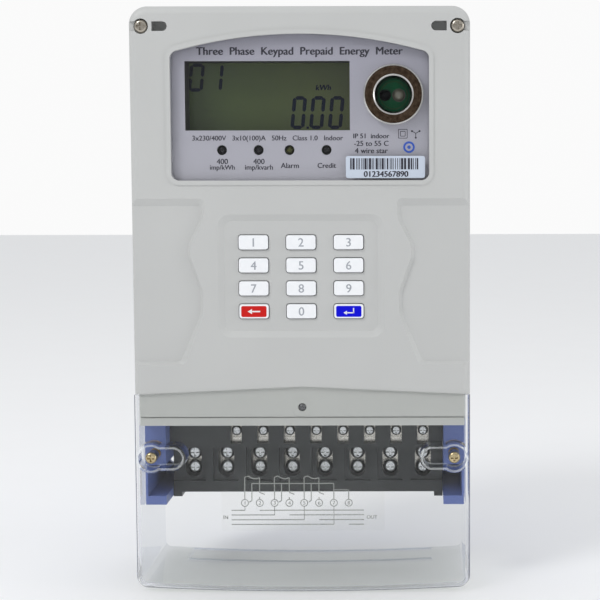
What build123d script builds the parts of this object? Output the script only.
"""Three-phase prepaid electricity meter: keypad meter with a clear terminal cover.

X points to the right, the front faces -Y, Z points up, millimetres.
The origin is on the flat back, which lies against the wall, at mid width.
"""
from build123d import *
import os

os.makedirs("parts", exist_ok=True)

# ---- Driving dimensions -------------------------------------------------------------
HALF_WIDTH = 85.0            # case, side to centre
TOP_Z = 146.0                # top of the case
TOP_CORNER = 9.0             # corner radius seen from the front
BOTTOM_SIDE_Z = -147.5       # lower edge of the clear cover at its sides
BOTTOM_MID_Z = -150.0        # and at the middle, where it bows down
FACE_Y = -80.0               # front face of the upper cover
SPLIT_Y = -36.0              # where the front cover meets the base
WALL = 2.5                   # case wall
BACK_WALL = 3.0              # base, against the wall
EDGE_ROUND = 4.0             # front edges of the upper cover

CHEVRON_MID_Z = -44.4        # line where upper cover and clear cover meet, middle
CHEVRON_SIDE_Z = -48.4       # and at the sides
LOWER_HALF = 82.3            # base and cover lip, inside the clear cover
LIP_Y = -78.5                # front of the grey lip behind the clear cover
LIP_LINE_Z = -59.9           # shadow line across the lip
LIP_BOTTOM_Z = -64.6
INNER_Y = -75.5              # inside of the front face

WINDOW_HALF = 64.5
WINDOW_BOTTOM_Z = 59.5
WINDOW_SHOULDER_Z = 123.0
WINDOW_TOP_Z = 132.2
WINDOW_FACE_Y = -79.2
NAMEPLATE_Y = -75.3          # printed face, just behind the window

LCD_X0, LCD_X1 = -57.8, 24.8 # opening in the nameplate
LCD_Z0, LCD_Z1 = 84.5, 119.0
LCD_FACE_Y = -59.0           # front of the display glass, deep behind the opening
LED_XS = (-39.5, -21.1, -5.6, 13.0)
LED_Z = 74.7
LED_HOLE_R = 2.5

PORT_X, PORT_Z = 46.7, 102.2 # optical port
PORT_OUTER_R, PORT_INNER_R = 15.0, 9.4

KEY_PITCH_X, KEY_PITCH_Z = 23.9, 11.6
KEY_TOP_ROW_Z = 28.5
KEY_HOLE_W, KEY_HOLE_H = 15.6, 8.0
KEY_CAP_W, KEY_CAP_H = 14.8, 7.2
KEY_FACE_Y = -79.9
KEY_TRAVEL = 1.2
KEY_NAMES = (
    ("key_1", "key_2", "key_3"),
    ("key_4", "key_5", "key_6"),
    ("key_7", "key_8", "key_9"),
    ("key_delete", "key_0", "key_enter"),
)

CASE_SCREW_X, CASE_SCREW_Z = 78.7, 136.0
COVER_SCREW_X, COVER_SCREW_Z = 77.0, -81.0
WALL_HOLE_X, WALL_HOLE_Z = 77.0, -95.0
WALL_HOLE_R = 2.6
MOUNT_POCKET_OUTER = 81.2    # pocket in each pillar, open towards the terminal block
MOUNT_POCKET_Z0, MOUNT_POCKET_Z1 = -103.5, -87.0
SEAL_POCKET_X0, SEAL_POCKET_X1 = 68.0, 73.3    # wire pockets beside the case screws
SEAL_POCKET_HALF = 2.4
INSERT_R = 2.8               # threaded brass inserts

PILLAR_INNER = 71.7          # blue pillars beside the terminal block
PILLAR_Y = -65.0
PILLAR_BOTTOM_Z = -108.0
BLOCK_HALF = 71.5            # terminal block
BLOCK_TOP_Z, BLOCK_BOTTOM_Z = -46.0, -106.0
BLOCK_Y = -40.0              # its front face
AUX_Y = -52.0                # front of the raised auxiliary row
AUX_TOP_Z, AUX_BOTTOM_Z = -62.3, -80.5
MAIN_COUNT, MAIN_PITCH = 8, 17.44
MAIN_FIRST_X = -61.0
MAIN_SCREW_ZS = (-86.0, -94.0)
BORE_Y, BORE_R = -21.0, 4.5  # wire bore of each main terminal
AUX_COUNT, AUX_PITCH = 8, 14.0
AUX_FIRST_X = -36.9
AUX_SCREW_Z = -72.0

COVER_FACE_Y = -81.5         # clear terminal cover
COVER_BACK_Y = -0.8
COVER_WALL = 2.3
COVER_GAP = 0.25             # joint between clear cover and upper cover
SWITCH_Z = -55.1             # cover-open switch
BACK_RELIEF = 0.8            # depth of the panels sunk into the back
JOINT_GROOVE = 0.5           # shadow line where the base meets the upper cover
MAIN_BOARD_Y = -52.4         # rear faces of the three circuit boards
KEY_BOARD_Y = -66.4
POWER_BOARD_Y = -10.4
BOARD = 1.6                  # circuit board thickness
MAIN_BOARD_FRONT = MAIN_BOARD_Y - BOARD
KEY_BOARD_FRONT = KEY_BOARD_Y - BOARD
POWER_BOARD_FRONT = POWER_BOARD_Y - BOARD
PORT_BOARD_Y = -66.0         # small board inside the optical port
PORT_BOARD_FRONT = PORT_BOARD_Y - 1.2

MAIN_XS = [MAIN_FIRST_X + MAIN_PITCH * i for i in range(MAIN_COUNT)]
AUX_XS = [AUX_FIRST_X + AUX_PITCH * i for i in range(AUX_COUNT)]
SIDES = (-1, 1)
MAIN_POSTS = [(x, z) for x in (-73, 73) for z in (64, 122)]    # posts of the display board
KEY_POSTS = [(x, z) for x in (-50, 50) for z in (-20, 42)]     # posts of the keypad board
PCB_SCREWS = [(x, z) for x in (-70, 70) for z in (18, 128)]    # power board
BLOCK_SCREWS = [(x, z) for x in (-66, 66) for z in (-56, -74)] # terminal block, from behind


# ---- Helpers ------------------------------------------------------------------------
def block(x0, x1, y0, y1, z0, z1):
    """Box between two corners."""
    middle = Pos((x0 + x1) / 2, (y0 + y1) / 2, (z0 + z1) / 2)
    return middle * Box(abs(x1 - x0), abs(y1 - y0), abs(z1 - z0))


def front_plane(y):
    """Drawing plane seen from the front: X to the right, Z up, normal to the front."""
    return Plane(origin=(0, y, 0), x_dir=(1, 0, 0), z_dir=(0, -1, 0))


def slab(sketch, back, front):
    """Outline drawn in X and Z, thickened between two depths."""
    return extrude(front_plane(back) * sketch, back - front)


def disc(x, z, radius, back, front):
    return slab(Pos(x, z) * Circle(radius), back, front)


def tube(x, z, outer, inner, back, front):
    return slab(Pos(x, z) * (Circle(outer) - Circle(inner)), back, front)


def rounded_block(x, z, width, height, corner, back, front):
    return slab(Pos(x, z) * RectangleRounded(width, height, corner), back, front)


def front_edges(solid):
    """Edges of the foremost face."""
    return solid.faces().sort_by(Axis.Y)[0].edges()


def upright(x, y, radius, low, high):
    """Cylinder along Z."""
    return Pos(x, y, (low + high) / 2) * Cylinder(radius, high - low)


def case_outline(half, top, bottom, corner):
    """Rectangle with two rounded upper corners."""
    sketch = Pos(0, (top + bottom) / 2) * Rectangle(2 * half, top - bottom)
    return fillet(sketch.vertices().group_by(Axis.Y)[-1], corner)


def window_outline(grow):
    """Nameplate window: straight sides and foot, arched top."""
    half, shoulder = WINDOW_HALF + grow, WINDOW_SHOULDER_Z + grow
    foot = WINDOW_BOTTOM_Z - grow
    sides = Polyline((-half, shoulder), (-half, foot), (half, foot), (half, shoulder))
    arch = ThreePointArc((half, shoulder), (0, WINDOW_TOP_Z + grow), (-half, shoulder))
    sketch = make_face(sides + arch)
    return fillet(sketch.vertices(), 4 + max(grow, 0))


def screw(x, z, seat, head_r, head_h, shank_r, length, facing=-1):
    """Cross-recessed screw; its head stands off the seat and faces -Y, or +Y if facing is 1."""
    tip = seat - facing * length
    top = seat + facing * head_h
    rounding = 0.45 * min(head_r, head_h)
    if facing < 0:
        head, shank = disc(x, z, head_r, seat, top), disc(x, z, shank_r, tip, seat)
        head = fillet(front_edges(head), rounding)
    else:
        head, shank = disc(x, z, head_r, top, seat), disc(x, z, shank_r, seat, tip)
        head = fillet(head.faces().sort_by(Axis.Y)[-1].edges(), rounding)
    arm, slot = head_r * 1.24, head_r * 0.34
    cross = Pos(x, z) * (Rectangle(arm, slot) + Rectangle(slot, arm))
    if facing < 0:
        opening = front_plane(top - 0.01)
    else:
        opening = Plane(origin=(0, top + 0.01, 0), x_dir=(1, 0, 0), z_dir=(0, 1, 0))
        cross = Pos(x, -z) * (Rectangle(arm, slot) + Rectangle(slot, arm))
    return head + shank - extrude(opening * cross, -min(head_h * 0.6, 1.9), taper=6)


def group(solids):
    """Separate solids kept together in one node."""
    return Compound(children=[s for item in solids for s in item.solids()])


# ---- Case ---------------------------------------------------------------------------
GASKET_IN, GASKET_OUT = 1.9, 0.9       # gasket cord, measured in from the rim
HANGER_HALF, HANGER_LOW = 12.0, 97.0
HANGER_Y0, HANGER_Y1 = -1.05, -2.55


def gasket_shape():
    outer = case_outline(HALF_WIDTH - GASKET_OUT, TOP_Z - GASKET_OUT, CHEVRON_SIDE_Z - 5, TOP_CORNER)
    inner = case_outline(HALF_WIDTH - GASKET_IN, TOP_Z - GASKET_IN, CHEVRON_SIDE_Z - 9, TOP_CORNER - 1)
    cord = slab(outer, SPLIT_Y + 1.2, SPLIT_Y) - slab(inner, 0, SPLIT_Y - 1)
    return cord & block(-90, 90, 0, -40, CHEVRON_SIDE_Z + 2, 150)


def make_rear_base():
    lower = Pos(0, (CHEVRON_MID_Z + PILLAR_BOTTOM_Z) / 2) * Rectangle(
        2 * LOWER_HALF, CHEVRON_MID_Z - PILLAR_BOTTOM_Z)
    upper = case_outline(HALF_WIDTH, TOP_Z, CHEVRON_SIDE_Z, TOP_CORNER)
    base = slab(upper, 0, SPLIT_Y) + slab(lower, 0, SPLIT_Y)
    base -= slab(case_outline(HALF_WIDTH - WALL, TOP_Z - WALL, CHEVRON_MID_Z - 2, TOP_CORNER - WALL),
                 -BACK_WALL, SPLIT_Y - 1)
    base -= block(-LOWER_HALF + WALL, LOWER_HALF - WALL, -BACK_WALL, SPLIT_Y - 1, -64.9, CHEVRON_MID_Z)
    base -= block(-PILLAR_INNER, PILLAR_INNER, -BACK_WALL, SPLIT_Y - 1, PILLAR_BOTTOM_Z - 1, -60)
    for side in SIDES:
        inner, outer = side * PILLAR_INNER, side * LOWER_HALF
        base += block(inner, outer, 0, PILLAR_Y, PILLAR_BOTTOM_Z, LIP_BOTTOM_Z - 0.3)
        # mounting pocket, open to the front and inwards, and the wall screw hole behind it
        base -= block(side * (PILLAR_INNER - 1), side * MOUNT_POCKET_OUTER, -4.0, PILLAR_Y - 1,
                      MOUNT_POCKET_Z0, MOUNT_POCKET_Z1)
        base -= disc(side * WALL_HOLE_X, WALL_HOLE_Z, WALL_HOLE_R, 1, -6)
        # seats for the threaded inserts
        base -= disc(side * COVER_SCREW_X, COVER_SCREW_Z, INSERT_R, -50, PILLAR_Y - 1)
        column = disc(side * CASE_SCREW_X, CASE_SCREW_Z, 5.0, -BACK_WALL, SPLIT_Y)
        base += column & block(-HALF_WIDTH + 1, HALF_WIDTH - 1, 0, -40, 100, TOP_Z - 1)
        base -= disc(side * CASE_SCREW_X, CASE_SCREW_Z, INSERT_R, -26, SPLIT_Y - 1)
    # guide for the sliding hanger: a slot with two lips, open at the top
    base += block(-17, 17, -BACK_WALL, -6, HANGER_LOW - 6, TOP_Z - WALL)
    base -= block(-HANGER_HALF - 0.3, HANGER_HALF + 0.3, -0.9, -2.7, HANGER_LOW - 1, TOP_Z + 1)
    base -= block(-HANGER_HALF + 1.8, HANGER_HALF - 1.8, 1, -1.5, HANGER_LOW - 1, TOP_Z + 1)
    # sunk panels in the back leave a rim, a spine and cross ribs to lie on the wall
    for side in SIDES:
        for low, high, reach in ((10, 88, 78), (-46, -8, 76), (-100, -52, 60)):
            base -= rounded_block(side * (reach + 10) / 2, (low + high) / 2, reach - 10, high - low, 4,
                                  1, -BACK_RELIEF)
    rim = case_outline(HALF_WIDTH + 1, TOP_Z + 1, CHEVRON_SIDE_Z - 1, TOP_CORNER + 1)
    rim -= case_outline(HALF_WIDTH - JOINT_GROOVE, TOP_Z - JOINT_GROOVE, CHEVRON_SIDE_Z - 2, TOP_CORNER)
    base -= slab(rim, SPLIT_Y + JOINT_GROOVE, SPLIT_Y - 1)
    for x, z in PCB_SCREWS:
        base += disc(x, z, 4, -BACK_WALL, POWER_BOARD_Y)
        base -= disc(x, z, 1.5, -4, POWER_BOARD_Y - 1)
    for x, z in BLOCK_SCREWS:
        base -= disc(x, z, 1.8, 1, -4)
        base -= disc(x, z, 3.4, 1, -1.7)
    return base - gasket_shape()


def scallop_outline(side, inset):
    """Finger grip cut into one side of the front: waisted inner edge, open to the side."""
    top, foot, outside = 50.5 - 2.2 * inset, -33.4 + inset, 95.0
    waist = [(48.4, 41.0), (56.7, 24.5), (49.2, 3.8), (49.2, -7.3)]
    border = [(outside, top), (48.4 + inset, top)] + [(x + inset, z) for x, z in waist]
    border += [(59.1 + 1.3 * inset, foot), (outside, foot)]
    border = [(side * x, z) for x, z in border]
    edge = FilletPolyline(*border, radius=(2, 12, 14, 12, 12, 3))
    return make_face(edge + Line(border[-1], border[0]))


def key_places():
    for row, names in enumerate(KEY_NAMES):
        for column, name in enumerate(names):
            yield name, (column - 1) * KEY_PITCH_X, KEY_TOP_ROW_Z - row * KEY_PITCH_Z


def make_front_cover():
    outline = make_face(Polyline(
        (-HALF_WIDTH, TOP_Z), (-HALF_WIDTH, CHEVRON_SIDE_Z), (0, CHEVRON_MID_Z),
        (HALF_WIDTH, CHEVRON_SIDE_Z), (HALF_WIDTH, TOP_Z), close=True))
    outline = fillet(outline.vertices().group_by(Axis.Y)[-1], TOP_CORNER)
    cover = slab(outline, SPLIT_Y, FACE_Y)
    rim = [e for e in front_edges(cover) if e.center().Z > CHEVRON_MID_Z + 5]
    cover = fillet(rim, EDGE_ROUND)
    lip = block(-LOWER_HALF, LOWER_HALF, SPLIT_Y, LIP_Y, LIP_BOTTOM_Z, CHEVRON_MID_Z + 2)
    lip -= block(-90, 90, LIP_Y - 1, LIP_Y + 0.7, LIP_BOTTOM_Z - 1, LIP_LINE_Z)
    lip -= block(-90, 90, LIP_Y - 1, LIP_Y + 1.6, LIP_LINE_Z - 0.7, LIP_LINE_Z)
    cover += lip
    cover += slab(window_outline(2.3) - window_outline(-0.5), FACE_Y + 1, FACE_Y - 0.45)

    # inside
    cover -= slab(case_outline(HALF_WIDTH - WALL, TOP_Z - WALL, CHEVRON_MID_Z, TOP_CORNER - WALL),
                  SPLIT_Y + 1, INNER_Y)
    cover -= block(-LOWER_HALF + WALL, LOWER_HALF - WALL, SPLIT_Y + 1, INNER_Y,
                   LIP_BOTTOM_Z + WALL, CHEVRON_MID_Z + 1)
    cover -= block(-PILLAR_INNER - 0.3, PILLAR_INNER + 0.3, SPLIT_Y + 1, AUX_Y - 0.5,
                   LIP_BOTTOM_Z - 1, LIP_BOTTOM_Z + WALL + 1)
    cover -= slab(window_outline(3.6), INNER_Y + 1, INNER_Y - 2)

    # openings and recesses of the face
    cover -= slab(window_outline(0), INNER_Y + 1, FACE_Y - 2)
    wide = front_plane(FACE_Y - 0.01) * (Pos(0, 11.5) * RectangleRounded(83.6, 62.2, 6.5))
    narrow = front_plane(LIP_Y) * (Pos(0, 11.5) * RectangleRounded(77.0, 55.6, 4.0))
    cover -= loft([wide, narrow], ruled=True)
    for _, x, z in key_places():
        cover -= rounded_block(x, z, KEY_HOLE_W, KEY_HOLE_H, 1.6, INNER_Y + 1, FACE_Y - 1)
    for side in SIDES:
        face_line = front_plane(FACE_Y - 0.01) * scallop_outline(side, 0)
        floor_line = front_plane(FACE_Y + 2.0) * scallop_outline(side, 1.7)
        cover -= loft([face_line, floor_line], ruled=True)

    # seal screw columns, wire pockets beside them, board posts
    for side in SIDES:
        x = side * CASE_SCREW_X
        column = disc(x, CASE_SCREW_Z, 5.0, SPLIT_Y, INNER_Y - 1)
        column += block(side * 63, side * 84, INNER_Y + 9, INNER_Y - 1, 131, 141)
        cover += column & block(-HALF_WIDTH + 1, HALF_WIDTH - 1, 0, -78, 100, TOP_Z - 1)
        cover -= disc(x, CASE_SCREW_Z, 2.1, SPLIT_Y + 1, FACE_Y - 1)
        cover -= disc(x, CASE_SCREW_Z, 3.8, FACE_Y + 3.6, FACE_Y - 1)
        cover -= block(x, side * 90, FACE_Y + 2.6, FACE_Y - 1,
                       CASE_SCREW_Z - SEAL_POCKET_HALF, CASE_SCREW_Z + SEAL_POCKET_HALF)
        pocket = block(side * SEAL_POCKET_X0, side * SEAL_POCKET_X1, FACE_Y + 9, FACE_Y - 1,
                       CASE_SCREW_Z - SEAL_POCKET_HALF, CASE_SCREW_Z + SEAL_POCKET_HALF)
        pocket += disc(side * SEAL_POCKET_X0, CASE_SCREW_Z, SEAL_POCKET_HALF, FACE_Y + 9, FACE_Y - 1)
        cover -= pocket
    for x, z in MAIN_POSTS:
        cover += tube(x, z, 3.6, 1.3, MAIN_BOARD_FRONT, INNER_Y - 0.5)
    for x, z in KEY_POSTS:
        cover += tube(x, z, 3.4, 1.3, KEY_BOARD_FRONT, INNER_Y - 0.3)

    # guide tube of the cover-open switch
    cover += tube(0, SWITCH_Z, 5.0, 3.3, -66.2, INNER_Y - 0.3)
    return cover - disc(0, SWITCH_Z, 2.08, -70, LIP_Y - 1)


# ---- Window, nameplate, display -----------------------------------------------------
def make_window_plate():
    plate = slab(window_outline(-0.6), INNER_Y - 1.9, WINDOW_FACE_Y)
    plate = fillet(front_edges(plate), 0.5)
    plate += slab(window_outline(3.3), INNER_Y - 0.1, INNER_Y - 1.9)
    return plate - disc(PORT_X, PORT_Z, PORT_OUTER_R + 0.15, INNER_Y + 1, FACE_Y)


def make_nameplate():
    plate = slab(window_outline(1.0), NAMEPLATE_Y + 0.5, NAMEPLATE_Y)
    plate -= block(LCD_X0, LCD_X1, NAMEPLATE_Y + 1, NAMEPLATE_Y - 1, LCD_Z0, LCD_Z1)
    plate -= disc(PORT_X, PORT_Z, PORT_INNER_R, NAMEPLATE_Y + 1, NAMEPLATE_Y - 1)
    for x in LED_XS:
        plate -= disc(x, LED_Z, LED_HOLE_R, NAMEPLATE_Y + 1, NAMEPLATE_Y - 1)
    return plate


def make_barcode_label():
    return rounded_block(42.6, 66.1, 39.6, 11.0, 1.2, WINDOW_FACE_Y, WINDOW_FACE_Y - 0.15)


def lcd_rectangle(grow):
    width, height = LCD_X1 - LCD_X0 + 2 * grow, LCD_Z1 - LCD_Z0 + 2 * grow
    return Pos((LCD_X0 + LCD_X1) / 2, (LCD_Z0 + LCD_Z1) / 2) * Rectangle(width, height)


def make_lcd_frame():
    """Black shroud from the nameplate to the glass, with a pocket that holds the glass."""
    frame = slab(lcd_rectangle(1.5) - lcd_rectangle(0), LCD_FACE_Y - 0.1, NAMEPLATE_Y + 0.6)
    frame += slab(lcd_rectangle(4.6) - lcd_rectangle(0), LCD_FACE_Y - 0.1, LCD_FACE_Y - 1.4)
    frame += slab(lcd_rectangle(4.6) - lcd_rectangle(3.2), MAIN_BOARD_FRONT, LCD_FACE_Y - 0.1)
    return frame


def make_lcd_glass():
    return slab(lcd_rectangle(3.0), LCD_FACE_Y + 2.2, LCD_FACE_Y)


def make_lcd_backlight():
    return slab(lcd_rectangle(2.9), MAIN_BOARD_FRONT, LCD_FACE_Y + 2.3)


def make_port_ring():
    metal = tube(PORT_X, PORT_Z, PORT_OUTER_R, PORT_INNER_R, NAMEPLATE_Y - 0.1, FACE_Y + 0.3)
    return chamfer(front_edges(metal), 0.7)


def make_port_tube():
    """Clear light guide behind the ring, closed by a thin front lens."""
    guide = disc(PORT_X, PORT_Z, PORT_INNER_R - 0.1, MAIN_BOARD_FRONT - 1, NAMEPLATE_Y - 1.6)
    return guide - disc(PORT_X, PORT_Z, PORT_INNER_R - 1.1, 0, NAMEPLATE_Y - 0.4)


def make_port_board():
    """Round board that carries the infrared pair, on four pins from the display board."""
    board = disc(PORT_X, PORT_Z, PORT_INNER_R - 1.3, PORT_BOARD_Y, PORT_BOARD_FRONT)
    for x in (-1.9, 1.9):
        for z in (-5.5, 5.5):
            board += block(PORT_X + x - 0.3, PORT_X + x + 0.3, MAIN_BOARD_FRONT, PORT_BOARD_Y,
                           PORT_Z + z - 0.3, PORT_Z + z + 0.3)
    return board


def round_lamp(x, z, radius, back, front):
    """Round lamp body with a dome at the front and a collar at the foot."""
    lamp = disc(x, z, radius, back, front)
    lamp = fillet(front_edges(lamp), radius * 0.92)
    return lamp + disc(x, z, radius + 0.4, back, back - 1)


def make_leds():
    return group([round_lamp(x, LED_Z, 2.25, MAIN_BOARD_FRONT, NAMEPLATE_Y + 1.0) for x in LED_XS])


def make_main_pcb():
    board = block(-77, 77, MAIN_BOARD_Y, MAIN_BOARD_FRONT, 58, 129)
    for x, z in MAIN_POSTS:
        board -= disc(x, z, 1.6, 0, -60)
    return board


def make_buzzer():
    x, z, radius = -56, 66, 5.0
    return tube(x, z, radius, 1.0, -58, -60) + disc(x, z, radius, MAIN_BOARD_FRONT, -58)


# ---- Keypad -------------------------------------------------------------------------
KEY_FLANGE_W, KEY_FLANGE_H = 17.6, 9.6
MAT_FRONT_Y = -72.0
PLUNGER_Y = -69.5


def make_key(x, z):
    """Cap with rounded edges, retaining flange behind the face, and a plunger."""
    cap = rounded_block(x, z, KEY_CAP_W, KEY_CAP_H, 1.3, -75.0, KEY_FACE_Y)
    cap = fillet(front_edges(cap), 0.55)
    flange = rounded_block(x, z, KEY_FLANGE_W, KEY_FLANGE_H, 1.6, -73.9, -75.2)
    return cap + flange + rounded_block(x, z, 9.0, 4.4, 1.0, PLUNGER_Y, -74.0)


def make_keypad_mat():
    mat = rounded_block(0, 11.0, 86, 60, 3, KEY_BOARD_FRONT - 0.05, MAT_FRONT_Y)
    for _, x, z in key_places():
        mat -= rounded_block(x, z, 10.2, 5.6, 1.2, -60, -80)
        mat -= rounded_block(x, z, 13.5, 8.2, 1.6, -60, MAT_FRONT_Y + 1.6)
    return mat


def make_keypad_pcb():
    board = rounded_block(0, 11, 110, 70, 2, KEY_BOARD_Y, KEY_BOARD_FRONT)
    for x, z in KEY_POSTS:
        board -= disc(x, z, 1.6, 0, -80)
    return board


# ---- Power board and its parts ------------------------------------------------------
def make_power_pcb():
    board = block(-75, 75, POWER_BOARD_Y, POWER_BOARD_FRONT, 13, 130.5)
    for x, z in PCB_SCREWS:
        board -= disc(x, z, 1.8, 0, -20)
    return board


def make_transformer():
    core = block(-58, -24, POWER_BOARD_FRONT - 1, POWER_BOARD_FRONT - 25, 84, 112)
    winding = block(-52, -30, POWER_BOARD_FRONT, POWER_BOARD_FRONT - 28, 79, 117)
    return core + winding


def make_capacitors():
    places = [(2, 104, 8, 24), (22, 104, 8, 24), (4, 84, 5, 16), (18, 84, 5, 16)]
    cans = []
    for x, z, radius, height in places:
        can = disc(x, z, radius, POWER_BOARD_FRONT, POWER_BOARD_FRONT - height)
        cans.append(fillet(front_edges(can), 1))
    return group(cans)


def make_varistors():
    return group([block(x - 2.2, x + 2.2, POWER_BOARD_FRONT, POWER_BOARD_FRONT - 3, 28, 36)
                  + Pos(x, POWER_BOARD_FRONT - 10, 32) * Rot(0, 90, 0) * Cylinder(7.5, 4)
                  for x in (-50, -34, -18)])


def make_chips():
    places = [(0, 54, 10, 10), (-16, 56, 12, 8), (24, 50, 7, 7), (44, 36, 9, 6)]
    height = 1.6
    return group([block(x, x + w, POWER_BOARD_FRONT, POWER_BOARD_FRONT - height, z, z + h)
                  for x, z, w, h in places])


BATTERY_Z, BATTERY_Y = 66.0, -22.0


def make_battery():
    cell = Pos(-42, BATTERY_Y, BATTERY_Z) * Rot(0, 90, 0) * Cylinder(7.2, 40)
    button = Pos(-21.2, BATTERY_Y, BATTERY_Z) * Rot(0, 90, 0) * Cylinder(2.6, 1.6)
    return cell + button


def make_battery_clips():
    low, high = BATTERY_Z - 5, BATTERY_Z + 5
    left = block(-63.0, -62.05, POWER_BOARD_FRONT, -28, low, high)
    right = block(-20.35, -19.4, POWER_BOARD_FRONT, -28, low, high)
    return group([left, right])


def make_ribbon_sockets():
    rear = block(46, 70, POWER_BOARD_FRONT, -20, 56, 62)
    front = block(46, 70, -46, MAIN_BOARD_Y, 60, 66)
    return group([rear, front])


def make_ribbon():
    strip = block(48, 68, -20, -34, 58.6, 59.4) + block(48, 68, -33.2, -34, 58.6, 63.4)
    return strip + block(48, 68, -33.2, -46, 62.6, 63.4)


# ---- Terminal block -----------------------------------------------------------------
CAGE_Y0, CAGE_Y1 = -14.0, -29.5
CAGE_Z0, CAGE_Z1 = -103.0, -80.0
CAGE_HALF = 6.0
BAR_HALF, BAR_THICK = 4.0, 2.0
SCREW_WELL_R = 4.25
RELAY_Z0, RELAY_Z1 = -26.0, 8.0


def make_terminal_block():
    body = block(-BLOCK_HALF, BLOCK_HALF, -BACK_WALL - 0.1, BLOCK_Y, BLOCK_BOTTOM_Z, BLOCK_TOP_Z)
    body += block(-BLOCK_HALF, BLOCK_HALF, BLOCK_Y, AUX_Y, AUX_BOTTOM_Z, AUX_TOP_Z)
    body += block(-BLOCK_HALF, BLOCK_HALF, BLOCK_Y, BLOCK_Y - 2, BLOCK_BOTTOM_Z, -100)
    for side in SIDES:
        body += block(side * 67, side * BLOCK_HALF, -BACK_WALL - 0.1, BLOCK_Y - 2, -108.4, -104)
    for left, right in zip(MAIN_XS[:-1], MAIN_XS[1:]):
        middle = (left + right) / 2
        body += block(middle - 2.15, middle + 2.15, BLOCK_Y, BLOCK_Y - 2, -101, AUX_BOTTOM_Z)
    for x in MAIN_XS:
        # two round screwdriver wells, joined so that the cage shows between the screws
        for z in MAIN_SCREW_ZS:
            body -= disc(x, z, SCREW_WELL_R, CAGE_Y1, BLOCK_Y - 3)
        body -= block(x - SCREW_WELL_R, x + SCREW_WELL_R, CAGE_Y1, BLOCK_Y - 3,
                      MAIN_SCREW_ZS[1], MAIN_SCREW_ZS[0])
        # cage chamber, open at the foot for the conductor
        body -= block(x - CAGE_HALF - 0.1, x + CAGE_HALF + 0.1, CAGE_Y0 + 0.1, CAGE_Y1 - 0.1,
                      BLOCK_BOTTOM_Z - 1, CAGE_Z1 + 0.1)
        body -= block(x - BAR_HALF - 0.1, x + BAR_HALF + 0.1, BORE_Y - 1.1, BORE_Y + 1.1,
                      CAGE_Z1 - 1, BLOCK_TOP_Z + 1)
    for x in AUX_XS:
        body -= block(x - 3.0, x + 3.0, AUX_Y + 6, AUX_Y - 1, -78.4, -67.6)
        body -= block(x - 3.5, x + 3.5, AUX_Y + 5.9, AUX_Y + 14.1, -79.1, -68.0)
        body -= upright(x, AUX_Y + 10.5, 1.9, AUX_BOTTOM_Z - 1, -78)
    for x, z in BLOCK_SCREWS:
        body -= disc(x, z, 1.45, 0, -12)
    return body


def make_main_cages():
    cages = []
    for x in MAIN_XS:
        cage = block(x - CAGE_HALF, x + CAGE_HALF, CAGE_Y0, CAGE_Y1, CAGE_Z0, CAGE_Z1)
        cage = chamfer(cage.edges().filter_by(Axis.Z), 0.6)
        cage -= upright(x, BORE_Y, BORE_R, CAGE_Z0 - 1, CAGE_Z1 - 3)
        for z in MAIN_SCREW_ZS:
            cage -= disc(x, z, 2.3, BORE_Y, CAGE_Y1 - 1)
        cages.append(cage)
    return group(cages)


def make_main_screws():
    return group([screw(x, z, CAGE_Y1 - 0.2, 3.85, 4.6, 2.2, 3.2) for x in MAIN_XS for z in MAIN_SCREW_ZS])


def make_aux_cages():
    cages = []
    for x in AUX_XS:
        cage = block(x - 3.4, x + 3.4, AUX_Y + 6, AUX_Y + 14, -79.0, -68.1)
        cage -= upright(x, AUX_Y + 10.5, 1.7, -80, -69.5)
        cage -= disc(x, AUX_SCREW_Z, 1.3, AUX_Y + 10, AUX_Y + 5)
        cages.append(cage + block(x - 2.7, x + 2.7, AUX_Y + 6, AUX_Y + 5.2, -78.0, -75.6))
    return group(cages)


def make_aux_screws():
    return group([screw(x, AUX_SCREW_Z, AUX_Y + 5.9, 2.7, 2.6, 1.2, 2.4) for x in AUX_XS])


def bar(x, high):
    return block(x - BAR_HALF, x + BAR_HALF, BORE_Y - BAR_THICK / 2, BORE_Y + BAR_THICK / 2,
                 CAGE_Z1, high)


def make_phase_bars():
    return group([bar(x, RELAY_Z0) for x in MAIN_XS[:6]])


def make_neutral_bar():
    left, right = MAIN_XS[6], MAIN_XS[7]
    link = block(left - BAR_HALF, right + BAR_HALF, BORE_Y - BAR_THICK / 2, BORE_Y + BAR_THICK / 2,
                 RELAY_Z0 - 8, RELAY_Z0)
    return bar(left, RELAY_Z0) + bar(right, RELAY_Z0) + link


def make_current_transformers():
    rings = []
    for x in MAIN_XS[0:6:2]:
        core = upright(x, BORE_Y, 12.5, -44, -32) - upright(x, BORE_Y, 6.5, -50, -30)
        rings.append(fillet(core.edges().filter_by(GeomType.CIRCLE), 1.5))
    return group(rings)


def make_relays():
    cases = []
    for left, right in zip(MAIN_XS[0:6:2], MAIN_XS[1:6:2]):
        middle = (left + right) / 2
        case = block(middle - 16.5, middle + 16.5, -8, -30, RELAY_Z0, RELAY_Z1)
        cases.append(fillet(case.edges().filter_by(Axis.Y), 1.5))
    return group(cases)


# ---- Clear terminal cover -----------------------------------------------------------
WELL_R = 6.2
POCKET_HALF = 4.9
POCKET_X = 61.0
WELL_FLOOR_Y = -71.0
WELL_BACK_Y = -67.5


def cover_outline(inset, top_drop):
    """Chevron top edge, straight sides, bowed lower edge with rounded corners."""
    half = HALF_WIDTH - inset
    side_low, mid_low = BOTTOM_SIDE_Z + inset, BOTTOM_MID_Z + inset
    side_top, mid_top = CHEVRON_SIDE_Z - top_drop, CHEVRON_MID_Z - top_drop
    top = Polyline((-half, side_low), (-half, side_top), (0, mid_top), (half, side_top), (half, side_low))
    bow = ThreePointArc((half, side_low), (0, mid_low), (-half, side_low))
    sketch = make_face(top + bow)
    return fillet(sketch.vertices().sort_by(Axis.Y)[:2], 6 - inset)


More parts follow.
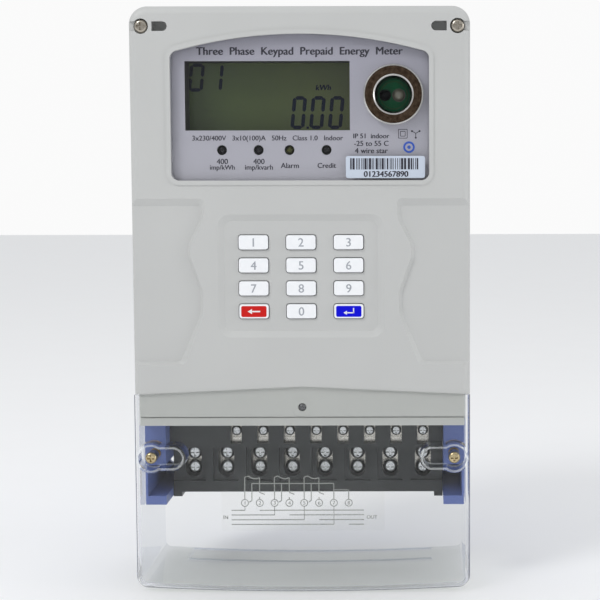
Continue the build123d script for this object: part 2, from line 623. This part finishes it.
def well_outline(side, grow):
    """Round screw well joined to a slot that runs inwards for the seal wire."""
    slot_end = POCKET_X + POCKET_HALF
    shape = Pos(side * COVER_SCREW_X, COVER_SCREW_Z) * Circle(WELL_R + grow)
    shape += Pos(side * slot_end, COVER_SCREW_Z) * Circle(POCKET_HALF + grow)
    middle = (COVER_SCREW_X + slot_end) / 2
    return shape + Pos(side * middle, COVER_SCREW_Z) * Rectangle(
        COVER_SCREW_X - slot_end, 2 * (POCKET_HALF + grow))


def make_terminal_cover():
    shell = slab(cover_outline(0, COVER_GAP), COVER_BACK_Y, COVER_FACE_Y)
    rim = [e for e in front_edges(shell) if e.center().Z < CHEVRON_SIDE_Z - 5]
    shell = fillet(rim, 2.0)
    inner = cover_outline(COVER_WALL, -8)
    shell -= slab(inner, COVER_BACK_Y + 1, COVER_FACE_Y + COVER_WALL)
    inside = slab(cover_outline(COVER_WALL - 0.3, COVER_GAP), COVER_BACK_Y, COVER_FACE_Y + 0.5)
    for side in SIDES:
        shell += slab(well_outline(side, 1.6), WELL_BACK_Y, COVER_FACE_Y + 1) & inside
    for side in SIDES:
        shell -= slab(well_outline(side, 0), WELL_FLOOR_Y, COVER_FACE_Y - 1)
        shell -= disc(side * COVER_SCREW_X, COVER_SCREW_Z, 1.9, WELL_BACK_Y + 1, COVER_FACE_Y)
    # knock-out border for the cables, raised on the inside of the bottom wall
    band = slab(inner - cover_outline(COVER_WALL + 0.9, -8), COVER_BACK_Y - 4, -29)
    edge = block(-67, 67, -4, -29, -155, -140) - block(-65.8, 65.8, -5.2, -27.8, -156, -139)
    shell += band & edge
    return shell + tube(0, SWITCH_Z, 5.2, 4.5, COVER_FACE_Y + COVER_WALL + 0.5, COVER_FACE_Y + 1)


def make_wiring_label():
    adhesive = 0.1
    front = COVER_FACE_Y + COVER_WALL + adhesive
    return rounded_block(0, -102, 83, 33, 1, front + 0.2, front)


def make_cover_screw(side):
    """Tall-headed seal screw with a cross hole for the wire, threaded into the pillar insert."""
    x, z = side * COVER_SCREW_X, COVER_SCREW_Z
    body = screw(x, z, WELL_FLOOR_Y - 0.2, 2.95, 9.4, 1.65, 14)
    return body - Pos(x, WELL_FLOOR_Y - 5.4, z) * Rot(0, 90, 0) * Cylinder(0.8, 8)


# ---- Small parts --------------------------------------------------------------------
def make_inserts():
    tubes = [tube(s * COVER_SCREW_X, COVER_SCREW_Z, INSERT_R, 1.7, -53, PILLAR_Y) for s in SIDES]
    tubes += [tube(s * CASE_SCREW_X, CASE_SCREW_Z, INSERT_R, 1.7, -26, SPLIT_Y) for s in SIDES]
    return group(tubes)


def make_case_screws():
    seat = FACE_Y + 3.4
    return group([screw(s * CASE_SCREW_X, CASE_SCREW_Z, seat, 3.35, 3.1, 1.65, 48) for s in SIDES])


def make_chassis_screws():
    screws = [screw(x, z, POWER_BOARD_FRONT, 2.8, 1.8, 1.4, 7) for x, z in PCB_SCREWS]
    screws += [screw(x, z, MAIN_BOARD_Y, 2.4, 1.6, 1.2, 8, 1) for x, z in MAIN_POSTS]
    screws += [screw(x, z, KEY_BOARD_Y, 2.4, 1.6, 1.2, 6, 1) for x, z in KEY_POSTS]
    screws += [screw(x, z, -1.7, 3.0, 1.5, 1.4, 9, 1) for x, z in BLOCK_SCREWS]
    return group(screws)


def make_plunger():
    head = disc(0, SWITCH_Z, 2.0, -72.3, LIP_Y - 0.5)
    head = fillet(front_edges(head), 1.4)
    return head + disc(0, SWITCH_Z, 3.0, -72.3, -73.3) + disc(0, SWITCH_Z, 1.1, -64.6, -72.4)


def make_switch_body():
    case = block(-6.5, 6.5, -56, -66, -61.0, -49.5)
    case = fillet(case.edges().filter_by(Axis.Y), 0.8)
    return case - disc(0, SWITCH_Z, 1.35, -61.5, -67)


def make_spring():
    """Coil spring around the plunger stem."""
    wire, radius, low, high = 0.22, 2.0, -66.3, -72.0
    path = Plane(origin=(0, low, SWITCH_Z), x_dir=(1, 0, 0), z_dir=(0, -1, 0)) * Helix(
        pitch=1.14, height=low - high, radius=radius)
    profile = Plane(origin=path @ 0, z_dir=path % 0) * Circle(wire)
    return sweep(profile, path=path, is_frenet=True)


def make_hanger():
    plate = block(-HANGER_HALF, HANGER_HALF, HANGER_Y0, HANGER_Y1, HANGER_LOW, TOP_Z - 1)
    plate = fillet(plate.edges().filter_by(Axis.Y), 2)
    plate -= disc(0, 136, 3.1, 0, -4)
    plate -= rounded_block(0, 112, 10, 6, 2.9, 0, -4)
    return plate


# ---- Write every node ---------------------------------------------------------------
NODES = {
    "rear_base": make_rear_base(), "case_gasket": gasket_shape(), "front_cover": make_front_cover(),
    "window_plate": make_window_plate(), "nameplate": make_nameplate(),
    "barcode_label": make_barcode_label(), "lcd_glass": make_lcd_glass(),
    "lcd_backlight": make_lcd_backlight(), "lcd_frame": make_lcd_frame(),
    "optical_port_ring": make_port_ring(), "optical_port_tube": make_port_tube(),
    "optical_port_board": make_port_board(),
    "ir_receiver": round_lamp(PORT_X - 4.3, PORT_Z, 2.5, PORT_BOARD_FRONT, -71.6),
    "ir_emitter": round_lamp(PORT_X + 2.6, PORT_Z, 2.9, PORT_BOARD_FRONT, -72.4),
    "indicator_leds": make_leds(), "main_pcb": make_main_pcb(), "buzzer": make_buzzer(),
    "keypad_pcb": make_keypad_pcb(), "keypad_mat": make_keypad_mat(), "power_pcb": make_power_pcb(),
    "power_transformer": make_transformer(), "filter_capacitors": make_capacitors(),
    "surge_varistors": make_varistors(), "metering_chips": make_chips(),
    "backup_battery": make_battery(), "battery_clips": make_battery_clips(),
    "ribbon_sockets": make_ribbon_sockets(), "ribbon_cable": make_ribbon(),
    "terminal_block": make_terminal_block(), "main_terminal_cages": make_main_cages(),
    "main_terminal_screws": make_main_screws(), "aux_terminal_cages": make_aux_cages(),
    "aux_terminal_screws": make_aux_screws(), "phase_busbars": make_phase_bars(),
    "neutral_busbar": make_neutral_bar(), "current_transformers": make_current_transformers(),
    "load_relays": make_relays(), "terminal_cover": make_terminal_cover(),
    "wiring_label": make_wiring_label(), "cover_screw_left": make_cover_screw(-1),
    "cover_screw_right": make_cover_screw(1), "threaded_inserts": make_inserts(),
    "case_screws": make_case_screws(), "chassis_screws": make_chassis_screws(),
    "cover_switch_plunger": make_plunger(), "cover_switch_body": make_switch_body(),
    "cover_switch_spring": make_spring(), "hanger_bracket": make_hanger(),
}
for key_name, key_x, key_z in key_places():
    NODES[key_name] = make_key(key_x, key_z)

for node, shape in NODES.items():
    export_step(shape, f"parts/{node}.step")
print(len(NODES), "nodes written")
